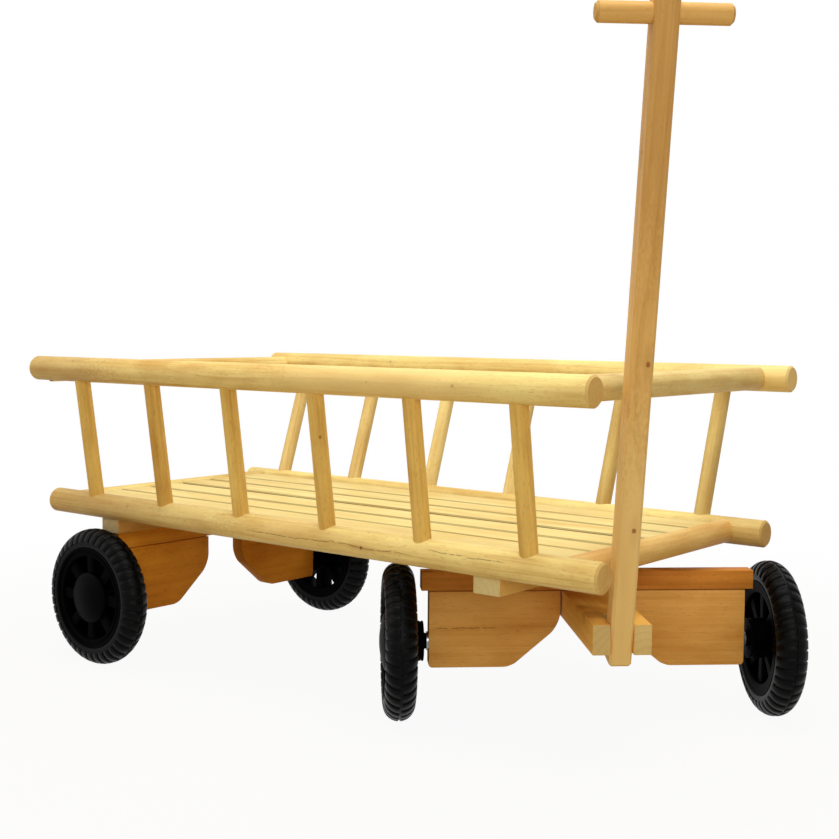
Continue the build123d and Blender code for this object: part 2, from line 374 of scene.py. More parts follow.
# soft streaks and fine fibres, both drawn out along the stick, wide patches and small flecks
streaks = w.weighed(noises["wide_streak"], 0.62, noises["fibre"], 0.38)
patches = w.weighed(noises["patch"], 0.6, noises["small_patch"], 0.4)
streak_part = w.times(w.centred(streaks), given["Streaks"])
ring_part = w.times(late_wood, given["Rings"])
patch_part = w.times(w.centred(patches), given["Mottle"])
lines = w.math("ADD", streak_part, ring_part)
depth = w.math("ADD", lines, w.math("ADD", patch_part, MIDDLE_DEPTH), clamp=True)
fleck_share = w.times(w.step(noises["fleck"], *FLECKS_FROM), given["Flecks"])
colour = w.mix(depth, given["Pale"], given["Deep"])
colour = w.mix(fleck_share, colour, given["Fleck Colour"])

# cut ends soak up more, so they are deeper in colour and show the rings as arcs
facing = w.split(given["Facing"])
end_on = w.step(w.math("ABSOLUTE", facing["X"]), *END_FACING)
ring_share = w.times(late_wood, w.times(given["Rings"], 0.5))
cut_end = w.mix(ring_share, given["End Colour"], given["Fleck Colour"])
cut_end = w.mix(w.step(noises["end_speck"], *SPECKS_FROM, 0.0, 0.25), cut_end, given["Fleck Colour"])
colour = w.mix(w.times(end_on, given["End Shade"]), colour, cut_end)

# the side faces of a slat are painted darker, partly their own sawn tone and partly painted shade in the gaps
side_on = w.step(w.math("ABSOLUTE", facing["Y"]), *SIDE_FACING)
colour = w.mix(w.times(side_on, given["Side Shade"]), colour, given["Side Colour"])

rough = w.math("ADD", w.weighed(noises["fibre"], 0.16, end_on, 0.15), PLAIN_ROUGHNESS)
end_relief = w.times(noises["end_speck"], w.times(end_on, 0.8))
relief = w.math("ADD", w.weighed(noises["fibre"], 0.7, late_wood, 0.5), end_relief)
w.fill(result, {"Colour": colour, "Roughness": rough, "Height": relief})
print("grain group", len(grain_group.nodes), "nodes")

# %% [markdown]
# A knot is where a branch left the trunk. It is a small dark disc with an uneven edge, in a halo of
# deeper wood that is drawn out along the grain. A second small group lays one over the grain. With a
# large size and a faint core it also makes a long patch of deeper or paler colour, and a few of the
# deeper patches are painted shade.

# %% Knot group
RIPPLE_CELLS = (160.0, 300.0, 300.0)
RIPPLE = 0.7
# both are drawn out along the grain, and each fades between two distances in knot sizes
CORE_STRETCH, HALO_STRETCH = (0.75, 1.0, 1.0), (0.28, 1.0, 1.0)
CORE_FADES, HALO_FADES = (0.50, 1.05), (0.8, 2.8)
knot_inputs = {
    "vector": ("Place", "Centre"), "value": ("Size", "Core", "Halo"), "colour": ("Colour", "Knot Colour"),
}
knot_group, w, given, result = new_group("wood_knot", knot_inputs, COLOUR_ONLY)
away = w.vector("SUBTRACT", given["Place"], given["Centre"])
ripple = w.times(w.centred(w.noise(given["Place"], RIPPLE_CELLS)), RIPPLE)


def distance_in_sizes(stretch):
    """The rippled distance from the knot's middle, in knot sizes."""
    reach = w.vector("LENGTH", w.vector("MULTIPLY", away, stretch))
    return w.math("ADD", w.math("DIVIDE", reach, given["Size"]), ripple)


core_share = w.step(distance_in_sizes(CORE_STRETCH), *CORE_FADES, given["Core"], 0.0)
halo_share = w.step(distance_in_sizes(HALO_STRETCH), *HALO_FADES, given["Halo"], 0.0)
share = w.math("MAXIMUM", core_share, halo_share)
w.fill(result, {"Colour": w.mix(share, given["Colour"], given["Knot Colour"])})
print("knot group", len(knot_group.nodes), "nodes")

# %% [markdown]
# Two pieces show long thin drying cracks. Each is a dark line that wanders, thins out and breaks off,
# so one more group draws it from its middle, its half length and its breadth.

# %% Crack group
WANDER_CELLS, WANDER_REACH = (14.0, 0.0, 0.0), 0.016
BREAK_CELLS, BREAKS_OFF = (95.0, 3.0, 3.0), (0.36, 0.52)
# it fades across and along, in breadths and half lengths, and with depth, as it is on one face only
LINE_FADES, TIP_FADES, DEPTH_FADES = (0.35, 1.0), (0.80, 1.0), (0.010, 0.014)
CRACK_STRENGTH = 0.75
crack_inputs = {
    "vector": ("Place", "Middle"), "value": ("Half Length", "Breadth"), "colour": ("Colour", "Crack Colour"),
}
crack_group, w, given, result = new_group("drying_crack", crack_inputs, COLOUR_ONLY)
offset = w.split(w.vector("SUBTRACT", given["Place"], given["Middle"]))
wander = w.times(w.centred(w.noise(given["Place"], WANDER_CELLS, detail=3.0)), WANDER_REACH)
breaks = w.step(w.noise(given["Place"], BREAK_CELLS), *BREAKS_OFF)
sideways = w.math("ABSOLUTE", w.math("SUBTRACT", offset["Z"], wander))
line = w.step(w.math("DIVIDE", sideways, given["Breadth"]), *LINE_FADES, 1.0, 0.0)
lengthways = w.math("DIVIDE", w.math("ABSOLUTE", offset["X"]), given["Half Length"])
ends = w.step(lengthways, *TIP_FADES, 1.0, 0.0)
near_face = w.step(w.math("ABSOLUTE", offset["Y"]), *DEPTH_FADES, 1.0, 0.0)
share = w.times(w.times(line, ends), w.times(breaks, near_face))
share = w.times(share, CRACK_STRENGTH)
w.fill(result, {"Colour": w.mix(share, given["Colour"], given["Crack Colour"])})
print("crack group", len(crack_group.nodes), "nodes")

# %% Woods of the wagon
wood_columns = (
    "Pale", "Deep", "Fleck Colour", "End Colour",
    "Ring Width", "Rings", "Streaks", "Mottle", "Flecks", "End Shade",
)
# one row for each wood: four colours, its ring width in metres and how strongly each feature shows
wood_rows = {
    "pale": (
        (248, 224, 144), (198, 146, 60), (170, 110, 40), (208, 164, 92), 0.0072, 0.18, 1.5, 2.3, 0.3, 0.8,
    ),
    "rung": (
        (240, 202, 110), (184, 128, 44), (162, 102, 36), (206, 164, 92), 0.006, 0.14, 1.45, 2.0, 0.3, 0.8,
    ),
    # a paler copy of the rung wood for the far rungs, which is painted light
    "far_rung_painted_light": (
        (246, 222, 150), (200, 152, 76), (162, 102, 36), (206, 164, 92), 0.006, 0.14, 1.4, 1.9, 0.26, 0.8,
    ),
    # a deeper golden copy for rungs 5 and 6: partly their golden tone, partly painted shade
    "golden_rung_painted_shade": (
        (222, 197, 124), (178, 130, 60), (150, 92, 32), (206, 164, 92), 0.006, 0.14, 1.4, 1.9, 0.26, 0.8,
    ),
    "deck": (
        (248, 230, 158), (214, 172, 84), (184, 130, 56), (206, 164, 92), 0.0068, 0.28, 1.1, 1.1, 0.14, 0.8,
    ),
    "honey": (
        (238, 194, 116), (202, 146, 70), (154, 98, 40), (196, 150, 84), 0.0075, 0.26, 1.1, 1.1, 0.16, 0.8,
    ),
    "gold": (
        (252, 198, 100), (226, 158, 58), (150, 92, 28), (222, 196, 132), 0.008, 0.2, 1.0, 1.4, 0.16, 0.9,
    ),
    "cream": (
        (236, 196, 112), (206, 152, 70), (158, 112, 50), (224, 206, 148), 0.008, 0.16, 0.9, 1.2, 0.12, 0.92,
    ),
    "amber": (
        (243, 186, 100), (202, 132, 50), (140, 78, 24), (178, 112, 42), 0.011, 0.16, 1.5, 1.9, 0.2, 0.75,
    ),
    "brown": (
        (246, 164, 50), (204, 116, 20), (120, 62, 10), (160, 98, 32), 0.011, 0.14, 1.0, 2.0, 0.24, 0.75,
    ),
    "russet": (
        (222, 146, 60), (176, 100, 22), (112, 56, 10), (160, 98, 32), 0.01, 0.16, 1.0, 1.6, 0.3, 0.75,
    ),
}
woods = {
    wood: {
        label: tint(*value) if isinstance(value, tuple) else value for label, value in zip(wood_columns, row)
    }
    for wood, row in wood_rows.items()
}
# the deck's side faces are painted a near-black brown: partly their own tone, partly the shade in the gaps
# between slats
woods["deck"].update({"Side Shade": 1.0, "Side Colour": tint(58, 34, 8)})
print("woods", len(woods))

# %% [markdown]
# Each stick's material has two Mapping nodes that turn the object's coordinates and its normal into the
# stick's own space. Its knots and cracks are laid over the grain one by one.

# %% Wood material
# how strongly each wood's surface reflects
COMMON_GLOSS = 0.1
gloss_of_woods = {
    "pale": 0.24, "rung": 0.2, "far_rung_painted_light": 0.22, "golden_rung_painted_shade": 0.2, "honey": 0.18, "cream": 0.16,
}
WOOD_BUMP, WOOD_BUMP_DEPTH = 0.35, 0.0004
KNOT_BROWN, CRACK_BROWN = tint(112, 66, 24), tint(104, 60, 22)


def stick_frame(along, facing):
    """A turned frame with X along the stick and Z near the way it faces."""
    x = Vector(along).normalized()
    y = Vector(facing).cross(x).normalized()
    return Matrix((x, y, x.cross(y))).transposed()


def wood_material(name, wood, along, centre, seed, pith, knots=(), cracks=(), facing=(0, 0, 1), changes=None):
    """Wood whose grain runs along the given line through the given centre."""
    material, w, output = new_material(name)
    turn = stick_frame(along, facing).to_euler()
    coordinates = w.node("ShaderNodeTexCoord").outputs
    into_stick = {"Location": centre, "Rotation": turn, "Vector": coordinates["Object"]}
    place = w.node("ShaderNodeMapping", into_stick, vector_type="TEXTURE").outputs["Vector"]
    into_turn = {"Rotation": turn, "Vector": coordinates["Normal"]}
    face = w.node("ShaderNodeMapping", into_turn, vector_type="TEXTURE").outputs["Vector"]
    grain = w.node("ShaderNodeGroup", node_tree=grain_group)
    w.fill(grain, {"Place": place, "Facing": face, "Seed": seed, "Pith": (0.0, *pith)})
    w.fill(grain, {**woods[wood], **(changes or {})})
    colour = grain.outputs["Colour"]
    for spot, size, core, halo, *own_colour in knots:
        knot = w.node("ShaderNodeGroup", node_tree=knot_group)
        w.fill(knot, {"Place": place, "Centre": spot, "Size": size, "Core": core, "Halo": halo})
        w.fill(knot, {"Colour": colour, "Knot Colour": own_colour[0] if own_colour else KNOT_BROWN})
        colour = knot.outputs["Colour"]
    for spot, half_length, breadth in cracks:
        crack = w.node("ShaderNodeGroup", node_tree=crack_group)
        w.fill(crack, {"Place": place, "Middle": spot, "Half Length": half_length, "Breadth": breadth})
        w.fill(crack, {"Colour": colour, "Crack Colour": CRACK_BROWN})
        colour = crack.outputs["Colour"]
    gloss = {"Specular IOR Level": gloss_of_woods.get(wood, COMMON_GLOSS)}
    rough, height = grain.outputs["Roughness"], grain.outputs["Height"]
    lay_surface(w, output, colour, rough, height, WOOD_BUMP, WOOD_BUMP_DEPTH, gloss)
    return material


print("woods with a gloss of their own", len(gloss_of_woods))

# %% [markdown]
# ## Which way each stick's grain runs
#
# A rail's grain runs along the wagon, a pole's across it and a rung's along its own slant. The front
# unit stands at an angle to the wagon, as it does in the photograph, so its pieces have turned frames.

# %% Dress the sticks
random.seed(7)
STEERED = math.radians(47.0)
ALONG = Vector((1, 0, 0))
ACROSS = Vector((0, 1, 0))
UNIT_ACROSS = Vector((math.sin(STEERED), math.cos(STEERED), 0))
UNIT_AHEAD = Vector((math.cos(STEERED), -math.sin(STEERED), 0))
RUNGS_A_SIDE = 6
# from this far rung on, the wood is the deeper copy that is partly painted shade
FIRST_GOLDEN_SHADED_RUNG = 5
# a rung's pith lies within this of its middle, and its seed between these two
RUNG_PITH, RUNG_SEEDS = 0.014, (30, 60)
# how much of a stick's height is looked at to find the middle of each end
END_SHARE = 0.12


def middle_of(node):
    """The middle of a node's box."""
    low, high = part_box(node)
    return (low + high) / 2


def slant_of(node):
    """The direction of a slanted stick, from the middles of its lowest and highest points."""
    points = [v.co for v in nodes[node].data.vertices]
    low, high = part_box(node)
    ends = []
    for height in (low.z, high.z):
        near = [p for p in points if abs(p.z - height) < (high.z - low.z) * END_SHARE]
        ends.append(sum(near, Vector()) / len(near))
    return ends[1] - ends[0]


# a deeper brown, a pale cream and a reddish brown for knots and long patches; some deeper-brown patches are
# painted shade
DEEPER_BROWN, PALE_CREAM, REDDISH = tint(150, 98, 44), tint(248, 216, 142), tint(146, 76, 22)
ORANGE = tint(235, 160, 70)
# knots: place in the stick's own space and size, in metres, strength of the core and the halo, and a
# colour where it isn't the common brown
knots_of_sticks = {
    "right_upper_rail": [
        ((0.1863, -0.018, 0.0008), 0.0022, 0.6, 0.1, REDDISH),
        ((0.3149, -0.018, 0.0005), 0.0026, 0.8, 0.12, REDDISH),
        ((-0.39, -0.012, 0.013), 0.0022, 0.4, 0.1),
        ((-0.49, 0, 0), 0.165, 0.38, 0, DEEPER_BROWN),
        ((0.18, 0, 0), 0.15, 0.58, 0, PALE_CREAM),
    ],
    "right_lower_rail": [
        ((0.1523, -0.0179, -0.0018), 0.003, 0.9, 0.18, REDDISH),
        ((-0.3, -0.016, 0.008), 0.004, 0.3, 0.1),
        ((-0.23, -0.015, 0.01), 0.003, 0.25, 0.12),
        # the two deeper patches towards this rail's rear end are partly deeper wood and partly painted shade
        ((-0.44, -0.012, -0.004), 0.03, 0.34, 0.3, DEEPER_BROWN),
        ((-0.27, 0, 0), 0.17, 0.26, 0, DEEPER_BROWN),
        ((0.02, 0, 0), 0.05, 0.35, 0, PALE_CREAM),
    ],
    "left_upper_rail": [
        ((-0.205, -0.016, 0.008), 0.0022, 0.5, 0.12),
        ((0.27, 0.017, 0.006), 0.0026, 0.7, 0.2),
        ((0.46, 0, 0), 0.08, 0.6, 0, PALE_CREAM),
    ],
    "left_lower_rail": [
        ((-0.32, -0.014, 0.011), 0.0026, 0.5, 0.12),
        # this deeper patch at the rail's front end is partly the dark joint with the lower front pole and
        # partly painted shade there
        ((0.46, 0, 0), 0.06, 0.26, 0, DEEPER_BROWN),
    ],
    "upper_front_pole": [((0, 0, 0), 0.3, 0.2, 0, DEEPER_BROWN)],
    "lower_front_pole": [((0, 0, 0), 0.3, 0.3, 0, ORANGE)],
    "drawbar": [
        # the drawbar is paler towards its foot and deeper towards its top
        ((-0.34, 0, 0), 0.25, 0.62, 0, PALE_CREAM),
        ((0.36, 0, 0), 0.25, 0.26, 0, DEEPER_BROWN),
        ((-0.0101, 0.006, -0.015), 0.0032, 0.8, 0.16, REDDISH),
        ((-0.1984, 0.0042, -0.015), 0.0028, 0.8, 0.1, REDDISH),
        ((0.21, -0.013, 0.0), 0.0028, 0.6, 0.2),
    ],
    "rear_beam": [((0.11, -0.012, 0.002), 0.004, 0.7, 0.2)],
    "rear_left_board": [((0.02, 0.011, 0.02), 0.006, 0.8, 0.25)],
    "fork": [
        # both dark patches on the fork's top are partly knots and partly painted shade under the lower rail's
        # end
        ((0.072, -0.024, 0.0175), 0.019, 0.42, 0.16),
        ((0.03, -0.028, 0.0175), 0.012, 0.34, 0.12),
    ],
    "right_rung_4": [((0.0313, 0.0069, 0.0086), 0.0022, 0.75, 0.1, REDDISH)],
}
# cracks: middle, half length and breadth, in metres
cracks_of_sticks = {
    "right_lower_rail": [
        ((0.09, -0.0179, -0.001), 0.15, 0.0007),
        ((0.31, -0.0179, 0.006), 0.06, 0.0006),
    ],
    "front_right_board": [((-0.036, -0.011, 0.0017), 0.042, 0.0008)],
}
# the rear bar is honey brown along its sides, but its cut end is pale and greyish
changes_of_sticks = {"rear_cross_bar": {"End Colour": tint(214, 192, 142), "End Shade": 0.92}}
# node, wood, grain direction, pith offset in metres
stick_rows = [
    ("right_upper_rail", "pale", ALONG, (0.01, -0.004)),
    ("right_lower_rail", "pale", ALONG, (-0.012, 0.006)),
    ("left_upper_rail", "pale", ALONG, (0.006, 0.014)),
    ("left_lower_rail", "pale", ALONG, (-0.004, -0.016)),
    ("upper_front_pole", "pale", ACROSS, (0.012, 0.008)),
    ("upper_rear_pole", "pale", ACROSS, (-0.01, 0.01)),
    ("lower_front_pole", "pale", ACROSS, (0.008, -0.012)),
    ("lower_rear_pole", "pale", ACROSS, (0.006, 0.01)),
    ("deck_slats", "deck", ALONG, (0.02, -0.055)),
    ("front_cross_bar", "cream", ACROSS, (0.03, -0.022)),
    ("rear_cross_bar", "amber", ACROSS, (-0.026, -0.03)),
    ("rear_beam", "brown", ACROSS, (0.02, -0.05)),
    ("front_beam", "russet", UNIT_ACROSS, (0.03, 0.06)),
    ("front_right_board", "amber", UNIT_ACROSS, (0.06, 0.03)),
    ("front_left_board", "amber", UNIT_ACROSS, (0.07, -0.02)),
    ("rear_right_board", "brown", ACROSS, (0.06, 0.02)),
    ("rear_left_board", "brown", ACROSS, (-0.07, 0.03)),
    ("fork", "gold", UNIT_AHEAD, (0.02, -0.05)),
    ("drawbar", "honey", slant_of("drawbar"), (0.026, 0.034)),
    ("drawbar_handle", "honey", UNIT_ACROSS, (0.006, 0.01)),
]
for number, (node, wood, line, pith) in enumerate(stick_rows):
    material = wood_material(
        node + "_wood", wood, line, middle_of(node), 1.0 + number, pith, knots_of_sticks.get(node, ()),
        cracks_of_sticks.get(node, ()), changes=changes_of_sticks.get(node),
    )
    put_on(node, material)
for side in ("right", "left"):
    for number in range(1, RUNGS_A_SIDE + 1):
        node = f"{side}_rung_{number}"
        # the far rungs take the paler copy, which is painted light, and rungs 5 and 6 the deeper golden one,
        # partly painted shade
        far_wood = "far_rung_painted_light" if number < FIRST_GOLDEN_SHADED_RUNG else "golden_rung_painted_shade"
        wood = "rung" if side == "right" else far_wood
        pith = (random.uniform(-RUNG_PITH, RUNG_PITH), random.uniform(-RUNG_PITH, RUNG_PITH))
        seed = random.uniform(*RUNG_SEEDS)
        material = wood_material(
            node + "_wood", wood, slant_of(node), middle_of(node), seed, pith, knots_of_sticks.get(node, ()),
            facing=(1, 0, 0),
        )
        put_on(node, material)
print("sticks dressed", len(stick_rows) + 2 * RUNGS_A_SIDE)

# %% [markdown]
# ## Black rubber and plastic
#
# The wheels are black throughout, but not flat black: the tyres have a soft shine, the moulded centres
# are duller, and both have a fine haze and some dust. One group gives the mottled black, its roughness
# and a fine orange-peel height, from the object's own coordinates.

# %% Moulded black group
CLOUD_CELLS, SCUFF_CELLS = (28.0, 28.0, 28.0), (260.0, 260.0, 40.0)
DUST_FROM, SCUFFS_FROM = (0.42, 0.68), (0.56, 0.70)
# dust lies below this height above the floor, and only this share of it above
DUST_HEIGHT, DUST_ABOVE = 0.11, 0.25
black_inputs = {
    "vector": ("Place",),
    "value": ("Grain Size", "Haze", "Dust", "Dullness"),
    "colour": ("Base", "Dust Colour"),
}
black_group, w, given, result = new_group("moulded_black", black_inputs, PATTERN)
peel = w.noise(w.scale(given["Place"], given["Grain Size"]), (1.0, 1.0, 1.0), detail=3.0, roughness=0.6)
cloud = w.noise(given["Place"], CLOUD_CELLS, detail=3.0)
scuff = w.noise(given["Place"], SCUFF_CELLS, detail=4.0, roughness=0.7)
scuff_share = w.times(w.step(scuff, *SCUFFS_FROM), given["Haze"])
low_down = w.step(w.split(given["Place"])["Z"], 0.0, DUST_HEIGHT, 1.0, DUST_ABOVE)
dusty = w.times(w.step(cloud, *DUST_FROM), given["Dust"])
share = w.math("ADD", w.times(dusty, low_down), scuff_share, clamp=True)
rough = w.math("ADD", given["Dullness"], w.times(w.centred(peel), 0.25))
rough = w.math("ADD", rough, w.times(share, 0.6), clamp=True)
height = w.math("ADD", peel, w.times(scuff, 0.4))
black = w.mix(share, given["Base"], given["Dust Colour"])
w.fill(result, {"Colour": black, "Roughness": rough, "Height": height})
print("black group", len(black_group.nodes), "nodes")

# %% Blacks and plated steel
DUST_COLOUR = tint(52, 50, 45)
BLACK_BUMP_DEPTH = 0.0003
SPANGLE_CELLS, SCRATCH_CELLS = (160.0, 160.0, 160.0), (1500.0, 1500.0, 300.0)
SPANGLES_FROM = (0.35, 0.65)
BRIGHT_ZINC, CLOUDY_ZINC = tint(150, 150, 148), tint(104, 104, 102)
STEEL_BUMP, STEEL_BUMP_DEPTH = 0.2, 0.0001


def black_material(name, base, dullness, gloss, haze, dust, grain_size, relief):
    """Moulded rubber or plastic, its haze and dust from the shared group."""
    material, w, output = new_material(name)
    values = {
        "Place": w.node("ShaderNodeTexCoord").outputs["Object"], "Grain Size": grain_size, "Haze": haze,
        "Dust": dust, "Dullness": dullness, "Base": base, "Dust Colour": DUST_COLOUR,
    }
    pattern = w.node("ShaderNodeGroup", node_tree=black_group)
    w.fill(pattern, values)
    finish = [pattern.outputs[label] for label in ("Colour", "Roughness", "Height")]
    lay_surface(w, output, *finish, relief, BLACK_BUMP_DEPTH, {"Specular IOR Level": gloss})
    return material


# name, base colour, dullness, gloss, haze, dust, grain in cells per metre, relief
tyre_rubber = black_material("tyre_rubber", tint(3, 3, 3), 0.34, 0.065, 0.05, 0.05, 900.0, 0.5)
wheel_plastic = black_material("wheel_plastic", tint(1, 1, 2), 0.50, 0.010, 0.02, 0.02, 1400.0, 0.3)
cap_plastic = black_material("cap_plastic", tint(2, 2, 3), 0.42, 0.018, 0.02, 0.02, 1600.0, 0.3)

plated_steel, w, output = new_material("plated_steel")
place = w.node("ShaderNodeTexCoord").outputs["Object"]
spangle = w.noise(place, SPANGLE_CELLS, detail=3.0)
scratch = w.noise(place, SCRATCH_CELLS)
zinc = w.mix(w.step(spangle, *SPANGLES_FROM), BRIGHT_ZINC, CLOUDY_ZINC)
rough = w.weighed(spangle, 0.3, scratch, 0.2)
lay_surface(w, output, zinc, rough, scratch, STEEL_BUMP, STEEL_BUMP_DEPTH, {"Metallic": 1.0})
steel_nodes = [n for n in nodes if n.endswith("_axle") or n.endswith("_washer")] + ["pivot_bolt"]
for node in steel_nodes:
    put_on(node, plated_steel)
print("steel nodes", len(steel_nodes))

# %% [markdown]
# ## Where each wheel stands
#
# The record's joints say where every wheel turns and about which line. A wheel is made once about the
# origin, with its axis along Y and its outer side towards plus Y, and is then laid into each place. The
# place goes into the mesh, so the object itself stays at the origin as the CAD nodes do.

# %% Wheel places
MM = 0.001
UP = Vector((0, 0, 1))
wheel_places = {}
for corner in ("front_right", "front_left", "rear_right", "rear_left"):
    joint = joints[corner + "_wheel_spin"]
    outward = Vector(joint["axis"]).normalized() * (1 if corner.endswith("left") else -1)
    wheel_places[corner] = axes_matrix(Vector(joint["pos_m"]), (outward.cross(UP), outward, UP))
print("wheel places", len(wheel_places))

# %% [markdown]
# ## Short ways to shape a mesh
#
# The wheels and the timber need the same few steps: an outline spun round the axle, a shape copied round
# the wheel, a face pushed out to a block, and edges bevelled. Each step is a bmesh operator or two.

# %% Mesh helpers
# edges that turn by more degrees than this stay sharp
SHARP_ANGLE = 38.0


def spun_ring(work, outline, steps, closed=True):
    """Turns an outline of (radius, side) points in millimetres once round the Y axis."""
    corners = [work.verts.new((0, side * MM, radius * MM)) for radius, side in outline]
    following = corners[1:] + corners[:1] if closed else corners[1:]
    edges = [work.edges.new((a, b)) for a, b in zip(corners, following)]
    bmesh.ops.spin(
        work, geom=corners + edges, cent=(0, 0, 0), axis=(0, 1, 0), angle=math.tau, steps=steps,
        use_merge=True,
    )


def copy_round(work, shape, count, first_step=0.0):
    """Copies a shape round the wheel, the first one turned by a share of the step between two."""
    shape_mesh = bpy.data.meshes.new("shape_to_copy")
    shape.to_mesh(shape_mesh)
    shape.free()
    for number in range(count):
        first = len(work.verts)
        work.from_mesh(shape_mesh)
        work.verts.ensure_lookup_table()
        turn = Matrix.Rotation(math.tau * (number + first_step) / count, 3, "Y")
        bmesh.ops.rotate(work, verts=work.verts[first:], cent=(0, 0, 0), matrix=turn)
    bpy.data.meshes.remove(shape_mesh)


def bevel_edges(work, edges, offset, segments):
    """Rounds the given edges, or cuts them off with one segment."""
    bmesh.ops.bevel(
        work, geom=list(edges), offset=offset, segments=segments, affect="EDGES", profile=0.5, material=-1,
    )


def push_out(work, faces, push):
    """Pushes flat faces out to a block."""
    made = bmesh.ops.extrude_face_region(work, geom=faces)
    pushed = [v for v in made["geom"] if isinstance(v, bmesh.types.BMVert)]
    bmesh.ops.translate(work, vec=push, verts=pushed)
    bmesh.ops.recalc_face_normals(work, faces=work.faces)


def finish_piece(name, work, material, body, place=None, sharp=SHARP_ANGLE):
    """Lays a bmesh into its place, gives it a material and lets it ride on a body."""
    if place is not None:
        bmesh.ops.transform(work, matrix=place, verts=work.verts)
    bmesh.ops.recalc_face_normals(work, faces=work.faces)
    mesh = bpy.data.meshes.new(name)
    work.to_mesh(mesh)
    work.free()
    mesh.materials.append(material)
    mesh.shade_smooth()
    mesh.set_sharp_from_angle(angle=math.radians(sharp))
    piece = bpy.data.objects.new(name, mesh)
    bpy.context.scene.collection.objects.link(piece)
    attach(piece, body)
    return piece


print("sharp above", SHARP_ANGLE, "degrees")

# %% [markdown]
# ## Tyres
#
# Each tyre is a round black section with stubby blocks that start on the side wall, climb over the
# shoulder and end near the crown. Left and right blocks are staggered by half a step. The body is one
# outline spun round the axle. A block is a small six-cornered face that is spun about the middle
# of the tyre's section, and so bends with it, and copies of it are turned round the wheel.

# %% Build the tyres
SECTION_MIDDLE = 80.0
BODY_RADIUS = 18.8
BLOCKS_A_SIDE = 40
# steps round a big ring, such as a tyre or a rim
BIG_RING_STEPS = 96
# where a block starts and how far it is spun, in degrees from the crown, and in how many steps
BLOCK_START, BLOCK_SWEEP, BLOCK_STEPS = -4.0, -82.0, 7
# each of those steps also moves along the tread, so that the block leans a little
BLOCK_LEAN = 0.0004
BLOCK_BEVEL = 0.0007
tyre_outline = [(72.1, 15.5), (72.4, 17.2), (74.4, 18.2), (77.2, 18.8)]
for degrees in (0, 14, 28, 42, 56, 70, 83):
    a = math.radians(degrees)
    tyre_outline.append((SECTION_MIDDLE + BODY_RADIUS * math.sin(a), BODY_RADIUS * math.cos(a)))
tyre_outline += [(radius, -side) for radius, side in reversed(tyre_outline)]
# corners of a block's section: along the tread and away from the middle of the tyre's section
block_section = [(-5.9, 17.8), (-5.7, 19.3), (-4.8, 19.97), (4.8, 19.97), (5.7, 19.3), (5.9, 17.8)]


def tread_block():
    """One block from near the crown to the side wall, at the top of the wheel."""
    block = bmesh.new()
    corners = [block.verts.new((x * MM, 0, (SECTION_MIDDLE + h) * MM)) for x, h in block_section]
    face = block.faces.new(corners)
    middle = (0, 0, SECTION_MIDDLE * MM)
    start = Matrix.Rotation(math.radians(BLOCK_START), 3, "X")
    bmesh.ops.rotate(block, verts=corners, cent=middle, matrix=start)
    bmesh.ops.spin(
        block, geom=[face], cent=middle, axis=(1, 0, 0), angle=math.radians(BLOCK_SWEEP),
        steps=BLOCK_STEPS, dvec=(BLOCK_LEAN, 0, 0),
    )
    ends = [f for f in block.faces if len(f.verts) == len(block_section)]
    bevel_edges(block, {e for f in ends for e in f.edges}, BLOCK_BEVEL, 1)
    return block


def make_tyre(corner):
    """The tyre of one wheel, with its blocks."""
    work = bmesh.new()
    spun_ring(work, tyre_outline, BIG_RING_STEPS)
    block = tread_block()
    other = block.copy()
    bmesh.ops.scale(other, vec=(1, -1, 1), verts=other.verts)
    for half, first_step in ((block, 0.0), (other, 0.5)):
        bmesh.ops.recalc_face_normals(half, faces=half.faces)
        copy_round(work, half, BLOCKS_A_SIDE, first_step)
    body, place = bodies_of_nodes[corner + "_tyre"], wheel_places[corner]
    piece = finish_piece(corner + "_lugged_tyre", work, tyre_rubber, body, place)
    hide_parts(corner + "_tyre")
    return piece


for corner in wheel_places:
    piece = make_tyre(corner)
print("tyre faces", len(piece.data.polygons))

# %% [markdown]
# ## Wheel centres
#
# The centre is one black moulding: a rim with a raised lip on each side, eight deep spokes and a hub
# that stands out on the inner side. The rim and the hub are spun outlines. A spoke is a block that is
# narrower at the hub, with bevelled edges as a mould leaves them. At the hub's inner end is the small
# boss that runs against the washer.

# %% Build the wheel centres
SPOKES = 8
HUB_STEPS = 72
# a spoke's width, depth and length, its middle above the axle and its shift outwards, in millimetres
SPOKE_SIZE = (18.0, 27.0, 42.0)
SPOKE_MIDDLE, SPOKE_SHIFT = 42.0, 1.0
# how much smaller it is at the hub
SPOKE_TAPER = (0.80, 0.94, 1.0)
SPOKE_BEVEL = 3.2
rim_outline = [
    (61.2, 15.2), (61.6, 16.6), (62.6, 17.3), (64.8, 17.4), (66.0, 16.6), (69.6, 16.7), (70.8, 18.2),
    (72.6, 18.9), (74.2, 18.8), (74.6, 18.2), (72.2, 17.0), (72.0, 14.0), (72.0, -14.0), (72.2, -17.0),
    (74.6, -18.2), (74.2, -18.8), (72.6, -18.9), (70.8, -18.2), (66.0, -17.6), (62.0, -17.2),
    (60.2, -16.6), (59.2, -15.6), (58.6, -8.0), (59.6, 8.0),
]
hub_outline = [
    (6.1, 15.6), (28.0, 15.6), (29.6, 14.9), (30.0, 13.6), (30.0, 9.0), (27.4, 6.5), (25.6, 4.0),
    (25.5, -26.6), (24.6, -27.4), (24.6, -29.0), (25.5, -29.8), (25.5, -31.0), (24.9, -31.5),
    (11.4, -31.5), (10.4, -32.2), (10.0, -34.8), (9.4, -35.5), (6.1, -35.5),
]


